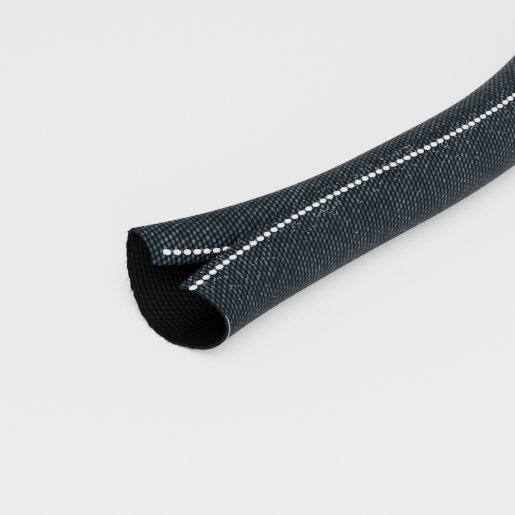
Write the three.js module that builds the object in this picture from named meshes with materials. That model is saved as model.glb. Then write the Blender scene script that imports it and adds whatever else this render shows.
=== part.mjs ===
// Split, self-wrapping woven cable sleeve, lying on a level floor with one end teased open.
// Millimetres, +Z up, +X along the sleeve away from the open end, +Y to the back.
// The wall is one strip of fabric. It is made flat and then curled point by point, so the
// sleeve, its lap and the open mouth all follow from the sizes below.
import * as THREE from "three";

// Fabric
const fabricThickness = 1.0;
const lapGap = 0.8; // clear space between the two layers of the lap
const sleeveLength = 500;
const closedOuterRadius = 13.9; // of the middle of the fabric, at the edge that lies outside

// Widths across the fabric, measured from the line that rests on the floor
const frontBodyWidth = 10.7;
const outerFlapWidth = 30.6;
const backBodyWidth = 28;
const innerFlapWidth = 24.1;

// Open mouth: radii of the middle of the fabric at the very end
const openBodyRadius = 26.6;
const openInnerFlapRadius = 7;
const openOuterFlapRadius = 9.7;
const bodyMouthLength = 74; // from the open end to where each part has closed
const outerFlapMouthLength = 120;
const innerFlapMouthLength = 140;
const bodyMouthFade = 2.4; // power of the fading from open to closed
const outerFlapMouthFade = 2.5;
const innerFlapMouthFade = 2;
const outerFlapLift = 0.001; // most easing of the outer flap's curl where it rides over, per mm
const innerFlapTuck = 0.0175; // most tightening of the inner flap's curl under it, per mm

// The open end is cut a little askew
const cutLean = 0.27; // forward lean of the cut per mm toward the back
const cutRise = 0.165; // backward lean per mm of height
const cutMiddleHeight = 19; // height at which the lean by height is nothing
const cutCup = 0.013; // backward bow per square mm toward either side
const innerFlapTrim = 0.1; // backward slant of the cut per mm of the inner flap

// Sideways bend of the sleeve
const bendStart = 63;
const bendEaseLength = 61; // the bend tightens to its full radius over this length
const bendRadius = 182;
const bendAngle = 0.45; // whole turn of the sleeve, in radians

// Tracer yarns, woven along both edges and standing proud of the fabric
const tracerInset = 3.8; // from the edge of the fabric to the middle of the yarn
const tracerWidth = 1.2;
const tracerThickness = 0.25;
const tracerGap = 0.25; // between the yarn and the fabric

// Mesh fineness
const stepsAcrossFabric = 40;
const stepsAcrossTracer = 2;
const mouthStep = 4;
const bodyStep = 12;
const turningStep = 1; // longest step while the curl is followed across the fabric

const fullWidth = outerFlapWidth + frontBodyWidth + backBodyWidth + innerFlapWidth;
const outerEdge = -(outerFlapWidth + frontBodyWidth);
const innerEdge = backBodyWidth + innerFlapWidth;
const lapPitch = fabricThickness + lapGap;

// Part of the way from closed (0) to open (1) at a distance from the open end.
function openness(along, length, fade) {
  return Math.min(Math.max(1 - along / length, 0), 1) ** fade;
}

// Rise and fall over the mouth, reaching 1 at a third of its length.
function crossing(along) {
  const u = Math.min(Math.max(along / bodyMouthLength, 0), 1);
  return (27 / 4) * u * (1 - u) ** 2;
}

// How each part of the section has opened at a distance from the open end.
function mouthState(along) {
  return {
    body: openness(along, bodyMouthLength, bodyMouthFade),
    outerFlap: openness(along, outerFlapMouthLength, outerFlapMouthFade),
    innerFlap: openness(along, innerFlapMouthLength, innerFlapMouthFade),
    crossing: crossing(along),
  };
}

// Square of the curling radius of the closed sleeve: each turn winds in by one lap pitch.
function squaredCoilRadius(across) {
  return closedOuterRadius ** 2 - (lapPitch * (across - outerEdge)) / Math.PI;
}

// Turning angle of the closed section, from the line on the floor.
function closedTurn(across) {
  const drop = Math.sqrt(squaredCoilRadius(0)) - Math.sqrt(squaredCoilRadius(across));
  return (drop * 2 * Math.PI) / lapPitch;
}

// Turning angle of the section at any state of the mouth.
function sectionTurn(across, state) {
  const body = Math.min(Math.max(across, -frontBodyWidth), backBodyWidth);
  const innerFlap = Math.max(across - backBodyWidth, 0);
  const outerFlap = Math.max(-across - frontBodyWidth, 0);
  const bodyTurn =
    closedTurn(body) * (1 - state.body) + (body / openBodyRadius) * state.body;
  const closedFlapTurn = closedTurn(across) - closedTurn(body);
  if (innerFlap > 0) {
    const tightness = state.innerFlap / openInnerFlapRadius + innerFlapTuck * state.crossing;
    return bodyTurn + closedFlapTurn * (1 - state.innerFlap) + innerFlap * tightness;
  }
  const tightness = state.outerFlap / openOuterFlapRadius - outerFlapLift * state.crossing;
  return bodyTurn + closedFlapTurn * (1 - state.outerFlap) - outerFlap * tightness;
}

// Point of the cross-section: place across the fabric, and height above its middle.
function sectionPoint(across, offset, state) {
  const steps = Math.ceil(Math.abs(across) / turningStep) + 1;
  const step = across / steps;
  let side = 0;
  let height = 0;
  for (let i = 0; i < steps; i += 1) {
    const angle = sectionTurn((i + 0.5) * step, state);
    side += Math.cos(angle) * step;
    height += Math.sin(angle) * step;
  }
  const angle = sectionTurn(across, state);
  return {
    side: side + offset * Math.sin(angle),
    height: height - offset * Math.cos(angle) + fabricThickness / 2,
  };
}

// Heading of the sleeve's centre line on the floor.
function heading(along) {
  const eased = Math.max(along - bendStart, 0);
  const t = Math.min(eased / bendEaseLength, 1);
  const easedTurn = bendEaseLength * (t ** 3 - t ** 4 / 2);
  const fullTurn = Math.max(eased - bendEaseLength, 0);
  return Math.min((easedTurn + fullTurn) / bendRadius, bendAngle);
}

// Point of the centre line on the floor, at a length along the sleeve.
function pathPoint(along) {
  if (along <= bendStart) return { x: along, y: 0, angle: 0 };
  const steps = Math.ceil((along - bendStart) / turningStep);
  const step = (along - bendStart) / steps;
  let x = bendStart;
  let y = 0;
  for (let i = 0; i < steps; i += 1) {
    const angle = heading(bendStart + (i + 0.5) * step);
    x += Math.cos(angle) * step;
    y += Math.sin(angle) * step;
  }
  return { x, y, angle: heading(along) };
}

// Curls one point of the flat fabric into its place on the sleeve.
function curl(along, across, offset) {
  const state = mouthState(along);
  const { side, height } = sectionPoint(across, offset, state);
  const rise = height - fabricThickness / 2 - cutMiddleHeight;
  const innerFlap = Math.max(across - backBodyWidth, 0);
  const cut =
    cutRise * rise + cutCup * side ** 2 - cutLean * side + innerFlapTrim * innerFlap;
  const { x, y, angle } = pathPoint(along + state.body * cut);
  return new THREE.Vector3(
    x - side * Math.sin(angle),
    y + side * Math.cos(angle),
    height,
  );
}

// Places along the sleeve where the fabric is divided: finer in the mouth.
function stations() {
  const mouthLength = Math.max(bodyMouthLength, outerFlapMouthLength, innerFlapMouthLength);
  const mouthSteps = Math.round(mouthLength / mouthStep);
  const bodySteps = Math.round((sleeveLength - mouthLength) / bodyStep);
  const places = [];
  for (let i = 0; i < mouthSteps; i += 1) {
    places.push((mouthLength * i) / mouthSteps);
  }
  for (let i = 0; i <= bodySteps; i += 1) {
    places.push(mouthLength + ((sleeveLength - mouthLength) * i) / bodySteps);
  }
  return places;
}

// A flat strip, made from a box and curled: width across, thickness outward.
function curledStrip(middle, width, lift, thickness, stepsAcross) {
  const places = stations();
  const geometry = new THREE.BoxGeometry(
    width,
    places.length - 1,
    thickness,
    stepsAcross,
    places.length - 1,
    1,
  );
  const position = geometry.getAttribute("position");
  for (let i = 0; i < position.count; i += 1) {
    const row = Math.round(position.getY(i) + (places.length - 1) / 2);
    const across = middle + position.getX(i);
    const offset = lift + position.getZ(i);
    const point = curl(places[row], across, offset);
    position.setXYZ(i, point.x, point.y, point.z);
  }
  geometry.computeVertexNormals();
  return geometry;
}

// Named mesh with its own material.
function namedMesh(name, geometry, colour, roughness) {
  const material = new THREE.MeshStandardMaterial({ color: colour, roughness });
  const mesh = new THREE.Mesh(geometry, material);
  mesh.name = name;
  return mesh;
}

const tracerLift = (fabricThickness + tracerThickness) / 2 + tracerGap;
const fabricMiddle = outerEdge + fullWidth / 2;

const sleeve = namedMesh(
  "woven_sleeve",
  curledStrip(fabricMiddle, fullWidth, 0, fabricThickness, stepsAcrossFabric),
  0x15181c,
  0.85,
);
const outerTracer = namedMesh(
  "outer_tracer_yarn",
  curledStrip(
    outerEdge + tracerInset,
    tracerWidth,
    tracerLift,
    tracerThickness,
    stepsAcrossTracer,
  ),
  0xe9e9e6,
  0.7,
);
const innerTracer = namedMesh(
  "inner_tracer_yarn",
  curledStrip(
    innerEdge - tracerInset,
    tracerWidth,
    tracerLift,
    tracerThickness,
    stepsAcrossTracer,
  ),
  0xe9e9e6,
  0.7,
);

const stock = new THREE.Group();
stock.add(sleeve, outerTracer, innerTracer);

// The part's own origin is the middle of its footprint, on the floor.
const box = new THREE.Box3().setFromObject(stock);
const footprintMiddle = box.getCenter(new THREE.Vector3());
stock.position.set(-footprintMiddle.x, -footprintMiddle.y, -box.min.z);

export default stock;
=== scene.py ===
# Looks of a split, self-wrapping woven cable sleeve that lies on a level floor.
# Metres, +Z up, +X along the sleeve away from its open end, +Y to the back.
import math
import random

import bmesh
import bpy
import numpy as np
from mathutils import Euler, Matrix, Vector


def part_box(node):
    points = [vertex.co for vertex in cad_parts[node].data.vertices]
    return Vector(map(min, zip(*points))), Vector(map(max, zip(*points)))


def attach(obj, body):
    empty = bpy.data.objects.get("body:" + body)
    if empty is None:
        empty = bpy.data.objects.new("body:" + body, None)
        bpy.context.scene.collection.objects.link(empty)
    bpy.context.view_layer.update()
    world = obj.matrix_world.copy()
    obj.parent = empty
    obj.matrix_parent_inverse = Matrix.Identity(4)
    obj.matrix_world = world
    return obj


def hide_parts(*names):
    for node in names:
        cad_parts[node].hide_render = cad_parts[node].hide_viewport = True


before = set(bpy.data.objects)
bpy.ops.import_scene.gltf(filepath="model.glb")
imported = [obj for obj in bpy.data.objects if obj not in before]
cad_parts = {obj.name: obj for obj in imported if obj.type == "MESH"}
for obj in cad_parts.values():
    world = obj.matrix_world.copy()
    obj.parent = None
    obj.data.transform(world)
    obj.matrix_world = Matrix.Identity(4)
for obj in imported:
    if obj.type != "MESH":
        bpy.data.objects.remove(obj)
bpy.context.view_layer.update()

# Fabric
FABRIC_THICKNESS = 0.001
LAP_GAP = 0.0008
SLEEVE_LENGTH = 0.5
CLOSED_OUTER_RADIUS = 0.0139

# Widths across the fabric, from the line that rests on the floor
FRONT_BODY_WIDTH = 0.0107
OUTER_FLAP_WIDTH = 0.0306
BACK_BODY_WIDTH = 0.028
INNER_FLAP_WIDTH = 0.0241

# Open mouth
OPEN_BODY_RADIUS = 0.0266
OPEN_INNER_FLAP_RADIUS = 0.007
OPEN_OUTER_FLAP_RADIUS = 0.0097
BODY_MOUTH_LENGTH = 0.074
OUTER_FLAP_MOUTH_LENGTH = 0.12
INNER_FLAP_MOUTH_LENGTH = 0.14
BODY_MOUTH_FADE = 2.4
OUTER_FLAP_MOUTH_FADE = 2.5
INNER_FLAP_MOUTH_FADE = 2
OUTER_FLAP_LIFT = 1  # most easing of the outer flap's curl where it rides over, per metre
INNER_FLAP_TUCK = 17.5  # most tightening of the inner flap's curl under it, per metre

# Askew cut of the open end
CUT_LEAN = 0.27  # forward lean of the cut, per metre toward the back
CUT_RISE = 0.165  # backward lean, per metre of height
CUT_MIDDLE_HEIGHT = 0.019  # height at which the lean by height is nothing
CUT_CUP = 13  # backward bow toward either side, per metre
INNER_FLAP_TRIM = 0.1  # backward slant, per metre of the inner flap

# Sideways bend
BEND_START = 0.063
BEND_EASE_LENGTH = 0.061
BEND_RADIUS = 0.182
BEND_ANGLE = 0.45

# Yarns
TRACER_INSET = 0.0038
PICK_PITCH = 0.001265  # between the yarns that run round the sleeve
PICKS_PER_REPEAT = 2
WEAVE_REPEAT_ACROSS = 0.0017
TRACER_PITCH = PICK_PITCH * PICKS_PER_REPEAT
OUTER_TRACER_START = 0.0005
INNER_TRACER_START = 0.0041
OUTER_FLOAT_SIZE = (0.00102, 0.00165, 0.0005)  # across, along, out of the fabric
INNER_FLOAT_SIZE = (0.00125, 0.00165, 0.0006)
FLOAT_SQUARENESS = 0.72  # 1 is an ellipsoid, less is boxier
OUTER_FLOAT_SLANT = 0.3  # slant of a float's ends
INNER_FLOAT_SLANT = 0.25
OUTER_FLOAT_TURN = 0.3  # how far a float turns away from the line of the yarn
INNER_FLOAT_TURN = 0.05
YARN_LIFT = 0.00008  # of what lies on the fabric, above its surface
FLOAT_BULGES = (0.93, 1.06)  # least and most, as shares of a float's size
FLOAT_DRIFT = 0.00005
EDGE_LOOP_RADII = (0.0003, 0.0006, 0.0005)

# Loose fibres
FIBRE_SIDES = 5
FIBRE_TIP = 0.4  # radius of the tip, as a share of the root's
END_FIBRE_LENGTHS = (0.0005, 0.0012)
END_FIBRE_RADII = (0.00006, 0.00011)
END_FIBRE_ROOT = 0.0003  # depth of the root in the fabric
END_FIBRE_LEAN = 0.7
END_FIBRE_RISE = 0.3
END_FIBRE_SPREAD = 0.4  # to either side of the fabric's middle, as a share of its thickness
OPEN_END_FIBRES = 150
FAR_END_FIBRES = 110
FILAMENT_COUNT = 1300
FILAMENT_SHARE_BY_TRACER = 0.8
FILAMENT_OFFSET = 0.0008  # of the band of filaments, from the outer tracer
FILAMENT_SPREAD = 0.0034
FILAMENT_LENGTHS = (0.0002, 0.00055)
FILAMENT_RADIUS = 0.00008
FILAMENT_LEAN = 0.6
EDGE_MARGIN = 0.0006  # clear of filaments, at the long edges
SCATTER_MARGIN = 0.001  # the same, for those scattered away from the tracer
END_MARGINS = (0.001, 0.002)  # clear of filaments, at the open and the far end
RESTING_HALF_WIDTH = 0.004  # nothing stands out of the fabric this near the floor line
CUT_THREAD_RADIUS = 0.00005
CUT_THREAD_LENGTH = 0.016
CUT_THREAD_MIDDLE = -0.019  # across the fabric
CUT_THREAD_INSET = 0.0001  # from the cut
CUT_THREAD_SIDES = 6
CUT_THREAD_CUTS = 30

# Wall of fabric
WALL_COLUMNS = 80
WALL_ROWS = 400
OPEN_CUT_ROUGHNESS = 0.35  # most that the cut strays, as a share of a row
FAR_CUT_ROUGHNESS = 0.2
WALL_WAVE = 0.00006  # depth of the soft waves of the fabric
WAVE_SCALE_ACROSS = (0.0041, 0.0067)
WAVE_SCALE_ALONG = (0.013, 0.0087)
WAVE_SHIFT = 1.3  # of the second wave, in radians

FULL_WIDTH = OUTER_FLAP_WIDTH + FRONT_BODY_WIDTH + BACK_BODY_WIDTH + INNER_FLAP_WIDTH
OUTER_EDGE = -(OUTER_FLAP_WIDTH + FRONT_BODY_WIDTH)
INNER_EDGE = BACK_BODY_WIDTH + INNER_FLAP_WIDTH
LAP_PITCH = FABRIC_THICKNESS + LAP_GAP

# Camera, in the frame whose origin is where the open end's floor line starts
CAMERA_PLACE = Vector((-0.1148, -0.1934, 0.2460))
CAMERA_HEADING = math.radians(36.554)
CAMERA_DROP = math.radians(44.032)
CAMERA_LENS = 84.35
CAMERA_SENSOR = 36

PATH_MARGIN = 0.03  # of the centre line, past both ends
PATH_POINTS = 2801
MOUTH_SAMPLE_END = 0.02  # the footprint's limits lie before here or past the next
FAR_SAMPLE_START = 0.4
SAMPLES_ACROSS = 161
TURNING_STEPS = 80

rng = random.Random(7)


# Curl of the fabric, the same as in the solids

def openness(along, length, fade):
    """Part of the way from closed (0) to open (1)."""
    return np.clip(1 - along / length, 0, 1) ** fade


def crossing(along):
    """Rise and fall over the mouth, reaching 1 at a third of its length."""
    u = np.clip(along / BODY_MOUTH_LENGTH, 0, 1)
    return 27 / 4 * u * (1 - u) ** 2


def coil_radius(across):
    """Curling radius of the closed sleeve, which winds in by one lap pitch a turn."""
    return np.sqrt(CLOSED_OUTER_RADIUS**2 - LAP_PITCH * (across - OUTER_EDGE) / math.pi)


def closed_turn(across):
    """Turning angle of the closed section, from the line on the floor."""
    return (coil_radius(np.zeros(1)) - coil_radius(across)) * 2 * math.pi / LAP_PITCH


def section_turn(across, along):
    """Turning angle of the section at a place across the fabric."""
    body = np.clip(across, -FRONT_BODY_WIDTH, BACK_BODY_WIDTH)
    inner_flap = np.maximum(across - BACK_BODY_WIDTH, 0)
    outer_flap = np.maximum(-across - FRONT_BODY_WIDTH, 0)
    body_open = openness(along, BODY_MOUTH_LENGTH, BODY_MOUTH_FADE)
    inner_open = openness(along, INNER_FLAP_MOUTH_LENGTH, INNER_FLAP_MOUTH_FADE)
    outer_open = openness(along, OUTER_FLAP_MOUTH_LENGTH, OUTER_FLAP_MOUTH_FADE)
    cross = crossing(along)
    turn = closed_turn(body) * (1 - body_open) + body / OPEN_BODY_RADIUS * body_open
    flap_turn = closed_turn(across) - closed_turn(body)
    flap_open = np.where(across > 0, inner_open, outer_open)
    turn = turn + flap_turn * (1 - flap_open)
    turn = turn + inner_flap * (inner_open / OPEN_INNER_FLAP_RADIUS + INNER_FLAP_TUCK * cross)
    return turn - outer_flap * (outer_open / OPEN_OUTER_FLAP_RADIUS - OUTER_FLAP_LIFT * cross)


def path_table():
    """Length along the sleeve, and the centre line's x, y and heading there."""
    along = np.linspace(-PATH_MARGIN, SLEEVE_LENGTH + PATH_MARGIN, PATH_POINTS)
    eased = np.maximum(along - BEND_START, 0)
    t = np.minimum(eased / BEND_EASE_LENGTH, 1)
    turned = BEND_EASE_LENGTH * (t**3 - t**4 / 2) + np.maximum(eased - BEND_EASE_LENGTH, 0)
    heading = np.minimum(turned / BEND_RADIUS, BEND_ANGLE)
    middle = (heading[1:] + heading[:-1]) / 2
    step = np.diff(along)
    x = along[0] + np.concatenate([[0], np.cumsum(np.cos(middle) * step)])
    y = np.concatenate([[0], np.cumsum(np.sin(middle) * step)])
    return along, x, y, heading


PATH = path_table()


def curl(along, across, offset):
    """Places on the sleeve of points of the flat fabric, as an array of x, y, z."""
    side = np.zeros_like(across)
    height = np.zeros_like(across)
    for i in range(TURNING_STEPS):
        angle = section_turn(across * (i + 0.5) / TURNING_STEPS, along)
        side = side + np.cos(angle) * across / TURNING_STEPS
        height = height + np.sin(angle) * across / TURNING_STEPS
    angle = section_turn(across, along)
    side = side + offset * np.sin(angle)
    height = height - offset * np.cos(angle) + FABRIC_THICKNESS / 2
    rise = height - FABRIC_THICKNESS / 2 - CUT_MIDDLE_HEIGHT
    cut = CUT_RISE * rise + CUT_CUP * side**2 - CUT_LEAN * side
    cut = cut + INNER_FLAP_TRIM * np.maximum(across - BACK_BODY_WIDTH, 0)
    place = along + openness(along, BODY_MOUTH_LENGTH, BODY_MOUTH_FADE) * cut
    x = np.interp(place, PATH[0], PATH[1])
    y = np.interp(place, PATH[0], PATH[2])
    heading = np.interp(place, PATH[0], PATH[3])
    return np.stack([x - side * np.sin(heading), y + side * np.cos(heading), height], axis=1)


def frame_shift():
    """From the curl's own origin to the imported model's: the middles of both footprints meet."""
    mouth_places = np.linspace(0, MOUTH_SAMPLE_END, 5)
    far_places = np.linspace(FAR_SAMPLE_START, SLEEVE_LENGTH, 11)
    across, along = np.meshgrid(
        np.linspace(OUTER_EDGE, INNER_EDGE, SAMPLES_ACROSS),
        np.concatenate([mouth_places, far_places]),
    )
    points = [
        curl(along.ravel(), across.ravel(), np.full(across.size, side * FABRIC_THICKNESS / 2))
        for side in (-1, 1)
    ]
    points = np.concatenate(points)
    own = (points.min(axis=0) + points.max(axis=0)) / 2
    low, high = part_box("woven_sleeve")
    return Vector(((low[0] + high[0]) / 2 - own[0], (low[1] + high[1]) / 2 - own[1], 0))


SHIFT = frame_shift()


# Pieces are modelled flat (x across, y along, z out of the fabric) and then curled

def soft_wave(across, along):
    """Sum of two waves over the fabric, between -4 and 0, so that it only goes inward."""
    first = np.sin(across / WAVE_SCALE_ACROSS[0] + along / WAVE_SCALE_ALONG[0])
    second = np.sin(across / WAVE_SCALE_ACROSS[1] - along / WAVE_SCALE_ALONG[1] + WAVE_SHIFT)
    return first + second - 2


def curled_piece(name, bm, wave_depth=0.0):
    """Object made from a flat bmesh, with its flat place kept as the UV map."""
    mesh = bpy.data.meshes.new(name)
    bm.to_mesh(mesh)
    bm.free()
    flat = np.empty(len(mesh.vertices) * 3)
    mesh.vertices.foreach_get("co", flat)
    flat = flat.reshape(-1, 3)
    corners = np.empty(len(mesh.loops), dtype=np.int64)
    mesh.loops.foreach_get("vertex_index", corners)
    uv = np.stack(
        [(flat[:, 0] - OUTER_EDGE) / FULL_WIDTH, flat[:, 1] / SLEEVE_LENGTH], axis=1
    )
    layer = mesh.uv_layers.new(name="fabric")
    layer.uv.foreach_set("vector", uv[corners].astype(np.float32).ravel())
    wave = wave_depth * soft_wave(flat[:, 0], flat[:, 1])
    points = curl(flat[:, 1], flat[:, 0], flat[:, 2] + wave) + np.array(SHIFT)
    mesh.vertices.foreach_set("co", points.astype(np.float32).ravel())
    mesh.polygons.foreach_set("use_smooth", np.ones(len(mesh.polygons), dtype=bool))
    mesh.update()
    piece = bpy.data.objects.new(name, mesh)
    bpy.context.collection.objects.link(piece)
    return piece


def woven_wall():
    """The strip of fabric, with a slightly ragged cut at both ends."""
    bm = bmesh.new()
    bmesh.ops.create_grid(bm, x_segments=WALL_COLUMNS, y_segments=WALL_ROWS, size=0.5)
    bmesh.ops.translate(bm, verts=bm.verts, vec=(0.5, 0.5, 0))
    bmesh.ops.scale(bm, verts=bm.verts, vec=(FULL_WIDTH, SLEEVE_LENGTH, 1))
    bmesh.ops.translate(bm, verts=bm.verts, vec=(OUTER_EDGE, 0, 0))
    row_length = SLEEVE_LENGTH / WALL_ROWS
    for vert in bm.verts:
        if vert.co.y < row_length / 2:
            vert.co.y += rng.uniform(0, OPEN_CUT_ROUGHNESS) * row_length
        elif vert.co.y > SLEEVE_LENGTH - row_length / 2:
            vert.co.y -= rng.uniform(0, FAR_CUT_ROUGHNESS) * row_length
    piece = curled_piece("sleeve_wall", bm, WALL_WAVE)
    wall = piece.modifiers.new("wall", "SOLIDIFY")
    wall.thickness = FABRIC_THICKNESS
    wall.offset = 0
    wall.use_even_offset = True
    wall.material_offset = 1
    wall.material_offset_rim = 2
    return piece


def repeat_along(bm, pitch, count):
    """Copies of what the bmesh holds, in a row along the sleeve."""
    bmesh.ops.spin(
        bm,
        geom=bm.verts[:] + bm.edges[:] + bm.faces[:],
        cent=(0, 0, 0),
        axis=(0, 0, 1),
        dvec=(0, pitch, 0),
        angle=0,
        steps=count - 1,
        use_duplicate=True,
    )


def tracer_floats(name, across, start, size, slant, turn):
    """White floats of a tracer yarn: it goes over one pick and under the next."""
    bm = bmesh.new()
    bmesh.ops.create_icosphere(bm, subdivisions=3, radius=1)
    for vert in bm.verts:
        vert.co = Vector([math.copysign(abs(c) ** FLOAT_SQUARENESS, c) for c in vert.co])
    bmesh.ops.scale(bm, verts=bm.verts, vec=Vector(size) / 2)
    count = int((SLEEVE_LENGTH - size[1] / 2 - start) / TRACER_PITCH) + 1
    repeat_along(bm, TRACER_PITCH, count)
    bulges = [rng.uniform(*FLOAT_BULGES) for _ in range(count)]
    drifts = [rng.uniform(-1, 1) * FLOAT_DRIFT for _ in range(count)]
    for vert in bm.verts:
        number = round(vert.co.y / TRACER_PITCH)
        middle = number * TRACER_PITCH
        vert.co.x *= bulges[number]
        from_middle = (vert.co.y - middle) * bulges[count - 1 - number]
        vert.co.y = start + middle + from_middle - slant * vert.co.x
        vert.co.x += across + drifts[number] + turn * from_middle
        vert.co.z += FABRIC_THICKNESS / 2 + YARN_LIFT
    return curled_piece(name, bm)


def selvedge_loops(name, across):
    """The yarns turn back at the edge of the fabric, in a row of small loops."""
    bm = bmesh.new()
    place = Matrix.Translation((across, PICK_PITCH, 0))
    bmesh.ops.create_icosphere(
        bm, subdivisions=2, radius=1, matrix=place @ Matrix.Diagonal((*EDGE_LOOP_RADII, 1))
    )
    repeat_along(bm, PICK_PITCH, int(SLEEVE_LENGTH / PICK_PITCH) - 1)
    return curled_piece(name, bm)


def fibre(bm, place, direction, length, radius):
    """A tapered bristle in the flat fabric's space."""
    turn = Vector(direction).to_track_quat("Z", "Y").to_matrix().to_4x4()
    middle = Vector(place) + Vector(direction).normalized() * length / 2
    bmesh.ops.create_cone(
        bm,
        cap_ends=True,
        segments=FIBRE_SIDES,
        radius1=radius,
        radius2=radius * FIBRE_TIP,
        depth=length,
        matrix=Matrix.Translation(middle) @ turn,
    )


def cut_end_fibres(name, along, outward, count):
    """Yarn ends that stand out of a cut end."""
    bm = bmesh.new()
    for _ in range(count):
        place = (
            rng.uniform(OUTER_EDGE + 0.0005, INNER_EDGE - 0.0005),
            along - outward * END_FIBRE_ROOT,
            rng.uniform(-END_FIBRE_SPREAD, END_FIBRE_SPREAD) * FABRIC_THICKNESS,
        )
        lean = rng.uniform(-END_FIBRE_LEAN, END_FIBRE_LEAN)
        rise = rng.uniform(-END_FIBRE_RISE, END_FIBRE_RISE)
        length = rng.uniform(*END_FIBRE_LENGTHS)
        radius = rng.uniform(*END_FIBRE_RADII)
        fibre(bm, place, (lean, outward, rise), length, radius)
    return curled_piece(name, bm)


def bright_filaments():
    """Short clear filaments that surface among the yarns, mostly beside the outer tracer."""
    bm = bmesh.new()
    lift = FABRIC_THICKNESS / 2 + YARN_LIFT
    for _ in range(FILAMENT_COUNT):
        near_tracer = rng.random() < FILAMENT_SHARE_BY_TRACER
        if near_tracer:
            across = OUTER_EDGE + TRACER_INSET + rng.gauss(FILAMENT_OFFSET, FILAMENT_SPREAD)
        else:
            across = rng.uniform(OUTER_EDGE + SCATTER_MARGIN, INNER_EDGE - SCATTER_MARGIN)
        across = min(max(across, OUTER_EDGE + EDGE_MARGIN), INNER_EDGE - EDGE_MARGIN)
        if abs(across) < RESTING_HALF_WIDTH:
            continue
        along = rng.uniform(END_MARGINS[0], SLEEVE_LENGTH - END_MARGINS[1])
        direction = (rng.uniform(-FILAMENT_LEAN, FILAMENT_LEAN), 1, 0)
        length = rng.uniform(*FILAMENT_LENGTHS)
        fibre(bm, (across, along, lift), direction, length, FILAMENT_RADIUS)
    return curled_piece("bright_filaments", bm)


def cut_end_thread():
    """A clear thread that runs along the cut of the front of the open end."""
    bm = bmesh.new()
    place = Matrix.Translation((CUT_THREAD_MIDDLE, CUT_THREAD_INSET, FABRIC_THICKNESS / 2))
    bmesh.ops.create_cone(
        bm,
        cap_ends=True,
        segments=CUT_THREAD_SIDES,
        radius1=CUT_THREAD_RADIUS,
        radius2=CUT_THREAD_RADIUS,
        depth=CUT_THREAD_LENGTH,
        matrix=place @ Euler((0, math.pi / 2, 0)).to_matrix().to_4x4(),
    )
    long_edges = [e for e in bm.edges if e.calc_length() > CUT_THREAD_LENGTH / 2]
    bmesh.ops.subdivide_edges(bm, edges=long_edges, cuts=CUT_THREAD_CUTS)
    return curled_piece("cut_end_thread", bm)


# Materials

FIRST_COLOUR_IN = 6  # the colour sockets of a Mix node
SECOND_COLOUR_IN = 7
COLOUR_OUT = 2


class Sum:
    """A value socket that can be used in Python expressions."""

    def __init__(self, shader, socket):
        self.shader = shader
        self.socket = socket

    def apply(self, operation, *values):
        settings = {"operation": operation}
        return self.shader.value("ShaderNodeMath", settings, list(values))

    def __add__(self, other):
        return self.apply("ADD", self, other)

    def __sub__(self, other):
        return self.apply("SUBTRACT", self, other)

    def __rsub__(self, other):
        return self.apply("SUBTRACT", other, self)

    def __mul__(self, other):
        return self.apply("MULTIPLY", self, other)

    def __truediv__(self, other):
        return self.apply("DIVIDE", self, other)

    def __pow__(self, other):
        return self.apply("POWER", self, other)

    def floor(self):
        return self.apply("FLOOR", self)

    def fraction(self):
        return self.apply("FRACT", self)

    def size(self):
        return self.apply("ABSOLUTE", self)

    def at_least(self, other):
        return self.apply("MAXIMUM", self, other)


class Finish:
    """A material, and one method that adds any node to it."""

    def __init__(self, name):
        self.material = bpy.data.materials.new(name)
        self.material.use_nodes = True
        self.tree = self.material.node_tree
        self.shader = self.tree.nodes["Principled BSDF"]

    def node(self, kind, settings=None, inputs=None):
        made = self.tree.nodes.new(kind)
        for key, setting in (settings or {}).items():
            setattr(made, key, setting)
        pairs = inputs.items() if isinstance(inputs, dict) else enumerate(inputs or [])
        for key, given in pairs:
            self.feed(made.inputs[key], given)
        return made

    def feed(self, socket, given):
        if isinstance(given, Sum):
            given = given.socket
        if isinstance(given, bpy.types.NodeSocket):
            self.tree.links.new(given, socket)
        else:
            socket.default_value = given

    def value(self, kind, settings=None, inputs=None):
        return Sum(self, self.node(kind, settings, inputs).outputs[0])

    def set(self, **sockets):
        for key, given in sockets.items():
            self.feed(self.shader.inputs[key.replace("_", " ")], given)

    def mix(self, factor, first, second):
        mixer = self.node("ShaderNodeMix", {"data_type": "RGBA"}, {"Factor": factor})
        self.feed(mixer.inputs[FIRST_COLOUR_IN], first)
        self.feed(mixer.inputs[SECOND_COLOUR_IN], second)
        return mixer.outputs[COLOUR_OUT]

    def smooth(self, given, low, high):
        return self.value(
            "ShaderNodeMapRange",
            {"interpolation_type": "SMOOTHSTEP"},
            {"Value": given, "From Min": low, "From Max": high},
        )

    def vector(self, x, y, z=0.0):
        return self.node("ShaderNodeCombineXYZ", None, [x, y, z]).outputs[0]

    def noise(self, place, scale, detail=2.0):
        return self.value(
            "ShaderNodeTexNoise", None, {"Vector": place, "Scale": scale, "Detail": detail}
        )

    def bump(self, height, distance):
        made = self.node(
            "ShaderNodeBump", None, {"Height": height, "Distance": distance, "Strength": 1.0}
        )
        return made.outputs[0]


MM = 1000  # millimetres in a metre: the weave's noises are scaled per millimetre

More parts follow.
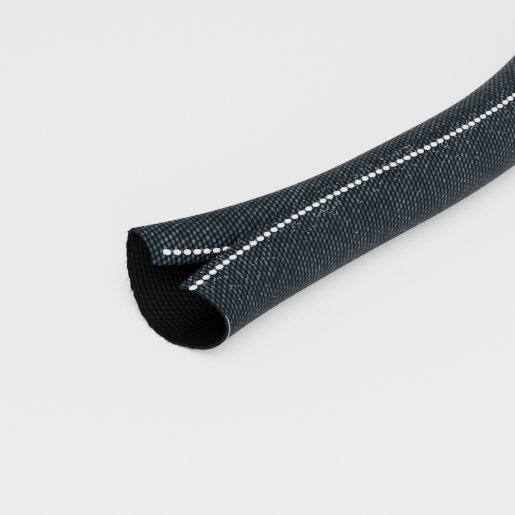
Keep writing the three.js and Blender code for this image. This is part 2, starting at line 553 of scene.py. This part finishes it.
# Weave: each pair of gain and base scales a noise and then lifts it
SWAY_SCALE = 0.35
PICK_SWAY = 0.5  # of the picks, in millimetres
FLOAT_SWAY = 0.3  # of the floats along their pick, in repeats
FLOAT_TILT = 0.3  # of a float across its pick, in picks for each repeat
PICK_NARROWNESS = 2.3  # 2 fills the pitch, more leaves a gap
PLY_GAP_HALF_WIDTH = 0.13  # in picks
# painted shade along the groove in the middle of each pick, as a share of its colour
PLY_GROOVE_PAINTED_SHADE = 0.25
FLOAT_DIVE_START = 0.12  # from the middle of a float, in repeats
FLOAT_DIVE_END = 0.47
ACROSS_STRANDS_SCALE = 9
ALONG_STRANDS_SCALE = 1.2
UNDER_ROUNDNESS = 0.65
UNDER_HEIGHT = 0.5
TOP_STRANDS = (0.25, 0.85)
UNDER_STRANDS = (0.4, 0.7)
BROAD_SCALE = 0.06
GRAIN_SCALE = 2.6
OWN_LIGHT = (0.3, 0.82)
GRAIN_LIGHT = (1.3, 0.35)
BROAD_LIGHT = (0.5, 0.75)
YARN_RANGE = (0.1, 1.1)  # painted light at which the colour leaves the painted shade of the gaps, and reaches the yarn's
# painted light at which the colour turns to the painted highlight of the highest yarn tops
PAINTED_HIGHLIGHT_RANGE = (0.75, 1.35)
YARN_ROUGHNESS = 0.75
TOP_SMOOTHNESS = 0.25  # less roughness at the top of a yarn


def varied(noise, gain_and_base):
    """A noise that is scaled and then lifted."""
    gain, base = gain_and_base
    return noise * gain + base


def woven_yarn(name, painted_gap_shade_colour, yarn_colour, painted_highlight_colour, relief, shine):
    """Black plain weave: the yarns round the sleeve go over one end and under the next."""
    finish = Finish(name)
    uv = finish.node("ShaderNodeUVMap", {"uv_map": "fabric"}).outputs[0]
    flat = finish.node("ShaderNodeSeparateXYZ", None, [uv])
    width = Sum(finish, flat.outputs[0]) * (FULL_WIDTH * MM)
    length = Sum(finish, flat.outputs[1]) * (SLEEVE_LENGTH * MM)
    place = finish.vector(width, length)
    sway = finish.noise(place, SWAY_SCALE) - 0.5
    pick_count = (length + sway * PICK_SWAY) / (PICK_PITCH * MM)
    pick = pick_count.floor()
    shifted = width / (WEAVE_REPEAT_ACROSS * MM) + sway * FLOAT_SWAY
    phase = shifted - pick / PICKS_PER_REPEAT
    yarn_float = phase.floor()
    from_float = phase.fraction() - 0.5
    from_pick = pick_count.fraction() - 0.5 + from_float * FLOAT_TILT
    roundness = (1 - (from_pick * PICK_NARROWNESS) ** 2).at_least(0)
    ply_groove_painted_shade = 1 - finish.smooth(from_pick.size(), 0.0, PLY_GAP_HALF_WIDTH)
    over = 1 - finish.smooth(from_float.size(), FLOAT_DIVE_START, FLOAT_DIVE_END)
    own = finish.value(
        "ShaderNodeTexWhiteNoise", {"noise_dimensions": "2D"}, [finish.vector(yarn_float, pick)]
    )
    along_pick = finish.vector(width * ALONG_STRANDS_SCALE, length * ACROSS_STRANDS_SCALE)
    along_end = finish.vector(width * ACROSS_STRANDS_SCALE, length * ALONG_STRANDS_SCALE)
    pick_strands = finish.noise(along_pick, 1.0, 3.0)
    end_strands = finish.noise(along_end, 1.0, 3.0)
    top = roundness * over
    under = (1 - over) * varied(roundness, (UNDER_ROUNDNESS, 1 - UNDER_ROUNDNESS)) * UNDER_HEIGHT
    height = top * varied(pick_strands, TOP_STRANDS) + under * varied(end_strands, UNDER_STRANDS)
    broad = finish.noise(place, BROAD_SCALE)
    grain = finish.noise(place, GRAIN_SCALE, 1.0)
    # Painted light for the colour: lighter on the high tops of the yarns (painted highlight),
    # darker in the gaps (painted shade), with tone that differs at random
    light = height * varied(own, OWN_LIGHT) * varied(grain, GRAIN_LIGHT)
    # painted shade along the middle groove of each pick
    light = light * varied(broad, BROAD_LIGHT) * (1 - ply_groove_painted_shade * PLY_GROOVE_PAINTED_SHADE)
    # Colour from the painted light: painted shade colour in the gaps, then the yarn's colour,
    # then the painted highlight colour on the highest tops
    colour = finish.mix(finish.smooth(light, *YARN_RANGE), painted_gap_shade_colour, yarn_colour)
    colour = finish.mix(finish.smooth(light, *PAINTED_HIGHLIGHT_RANGE), colour, painted_highlight_colour)
    finish.set(
        Base_Color=colour,
        Roughness=YARN_ROUGHNESS - height * TOP_SMOOTHNESS,
        Normal=finish.bump(height, relief),
        Specular_IOR_Level=shine,
    )
    return finish.material


def fused_edge(name):
    """Hot-cut edge of the fabric: dark, partly melted yarn ends."""
    finish = Finish(name)
    place = finish.node("ShaderNodeTexCoord").outputs["Object"]
    grain = finish.noise(place, 1800, 3.0)
    colour = finish.mix(grain, (0.0006, 0.0007, 0.0008, 1), (0.005, 0.006, 0.007, 1))
    finish.set(
        Base_Color=colour,
        Roughness=0.75 - grain * 0.35,
        Normal=finish.bump(grain, 0.0003),
        Specular_IOR_Level=0.02,
    )
    return finish.material


def twisted_yarn(name, shade_colour, light_colour, shine):
    """Bundle of fine filaments that runs along the sleeve."""
    finish = Finish(name)
    uv = finish.node("ShaderNodeUVMap", {"uv_map": "fabric"}).outputs[0]
    flat = finish.node("ShaderNodeSeparateXYZ", None, [uv])
    width = Sum(finish, flat.outputs[0]) * (FULL_WIDTH * MM)
    length = Sum(finish, flat.outputs[1]) * (SLEEVE_LENGTH * MM)
    strands = finish.noise(finish.vector(width * 9 + length * 2.2, length * 0.8), 1.0, 2.0)
    colour = finish.mix(finish.smooth(strands, 0.2, 0.75), shade_colour, light_colour)
    finish.set(
        Base_Color=colour,
        Roughness=0.65 - strands * 0.2,
        Normal=finish.bump(strands, 0.00018),
        Specular_IOR_Level=shine,
    )
    return finish.material


def clear_filament_painted_glint(name):
    """Single round filament of clear plastic, whose light colour is a painted glint."""
    finish = Finish(name)
    place = finish.node("ShaderNodeTexCoord").outputs["Object"]
    tone = finish.noise(place, 260)
    colour = finish.mix(tone, (0.02, 0.024, 0.028, 1), (0.32, 0.34, 0.36, 1))
    finish.set(Base_Color=colour, Roughness=tone * 0.2 + 0.25)
    return finish.material


def floor_finish():
    finish = Finish("pale_floor")
    place = finish.node("ShaderNodeTexCoord").outputs["Object"]
    tone = finish.noise(place, 3)
    colour = finish.mix(tone, (0.84, 0.84, 0.84, 1), (0.87, 0.87, 0.87, 1))
    finish.set(Base_Color=colour, Roughness=0.9)
    return finish.material


outside = woven_yarn(
    "black_weave_outside",
    painted_gap_shade_colour=(0.0003, 0.0014, 0.0021, 1),
    yarn_colour=(0.0190, 0.0265, 0.0315, 1),
    painted_highlight_colour=(0.072, 0.086, 0.095, 1),
    relief=0.0006,
    shine=0.03,
)
# Inner face of the wall: a much darker copy of the outside weave, painted shade inside the sleeve
painted_shade_inside = woven_yarn(
    "black_weave_inside_painted_shade",
    painted_gap_shade_colour=(0.0002, 0.0002, 0.0002, 1),
    yarn_colour=(0.0016, 0.0017, 0.0018, 1),
    painted_highlight_colour=(0.004, 0.004, 0.0042, 1),
    relief=0.0002,
    shine=0.03,
)
edge = fused_edge("fused_cut_edge")
white_yarn = twisted_yarn(
    "white_tracer_yarn", (0.42, 0.43, 0.45, 1), (0.88, 0.88, 0.87, 1), shine=0.3
)
black_yarn = twisted_yarn(
    "black_edge_yarn", (0.0006, 0.0008, 0.001, 1), (0.008, 0.0105, 0.0125, 1), shine=0.03
)
# painted glint colour of clear plastic, for the loose filaments and the cut-end thread
filament = clear_filament_painted_glint("clear_filament_painted_glint")


# The object's pieces

wall = woven_wall()
for material in (outside, painted_shade_inside, edge):
    wall.data.materials.append(material)
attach(wall, "root")
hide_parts("woven_sleeve")

outer_tracer = tracer_floats(
    "outer_tracer_floats",
    OUTER_EDGE + TRACER_INSET,
    OUTER_TRACER_START,
    OUTER_FLOAT_SIZE,
    OUTER_FLOAT_SLANT,
    OUTER_FLOAT_TURN,
)
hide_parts("outer_tracer_yarn")
inner_tracer = tracer_floats(
    "inner_tracer_floats",
    INNER_EDGE - TRACER_INSET,
    INNER_TRACER_START,
    INNER_FLOAT_SIZE,
    INNER_FLOAT_SLANT,
    INNER_FLOAT_TURN,
)
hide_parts("inner_tracer_yarn")
for piece in (outer_tracer, inner_tracer):
    piece.data.materials.append(white_yarn)
    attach(piece, "root")

small_pieces = (
    (selvedge_loops("outer_edge_loops", OUTER_EDGE), black_yarn),
    (selvedge_loops("inner_edge_loops", INNER_EDGE), black_yarn),
    (cut_end_fibres("open_end_fibres", 0, -1, OPEN_END_FIBRES), black_yarn),
    (cut_end_fibres("far_end_fibres", SLEEVE_LENGTH, 1, FAR_END_FIBRES), black_yarn),
    (bright_filaments(), filament),
    (cut_end_thread(), filament),
)
for piece, material in small_pieces:
    piece.data.materials.append(material)
    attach(piece, "root")


# Floor, lights and camera

FLOOR_HALF_WIDTH = 3
SURROUND_STRENGTH = 2.2
OVERHEAD_LIGHT = Vector((-0.05, -0.25, 0.9))  # from the mouth
OVERHEAD_SIZE = 0.7
OVERHEAD_WATTS = 27
FRONT_LIGHT = Vector((-0.3, -0.8, 0.45))
FRONT_SIZE = 0.5
FRONT_WATTS = 9


def pale_floor():
    bm = bmesh.new()
    bmesh.ops.create_grid(bm, x_segments=1, y_segments=1, size=FLOOR_HALF_WIDTH)
    mesh = bpy.data.meshes.new("floor")
    bm.to_mesh(mesh)
    bm.free()
    floor = bpy.data.objects.new("floor", mesh)
    bpy.context.collection.objects.link(floor)
    floor.data.materials.append(floor_finish())


def soft_light(name, place, aim, size, watts):
    data = bpy.data.lights.new(name, "AREA")
    data.shape = "DISK"
    data.size = size
    data.energy = watts
    light = bpy.data.objects.new(name, data)
    light.location = place
    light.rotation_euler = (Vector(aim) - Vector(place)).to_track_quat("-Z", "Y").to_euler()
    bpy.context.collection.objects.link(light)


def studio_surround():
    world = bpy.data.worlds.new("studio")
    bpy.context.scene.world = world
    world.use_nodes = True
    background = world.node_tree.nodes["Background"]
    background.inputs["Color"].default_value = (1, 1, 1, 1)
    background.inputs["Strength"].default_value = SURROUND_STRENGTH


pale_floor()
studio_surround()
mouth = Vector((0, 0, 0)) + SHIFT
soft_light("overhead", mouth + OVERHEAD_LIGHT, mouth, OVERHEAD_SIZE, OVERHEAD_WATTS)
soft_light("front", mouth + FRONT_LIGHT, mouth, FRONT_SIZE, FRONT_WATTS)

camera_data = bpy.data.cameras.new("camera")
camera_data.lens = CAMERA_LENS
camera_data.sensor_width = CAMERA_SENSOR
camera_data.clip_start = 0.01
camera = bpy.data.objects.new("camera", camera_data)
camera.location = CAMERA_PLACE + SHIFT
camera.rotation_euler = Euler((math.pi / 2 - CAMERA_DROP, 0, -CAMERA_HEADING))
bpy.context.collection.objects.link(camera)
bpy.context.scene.camera = camera
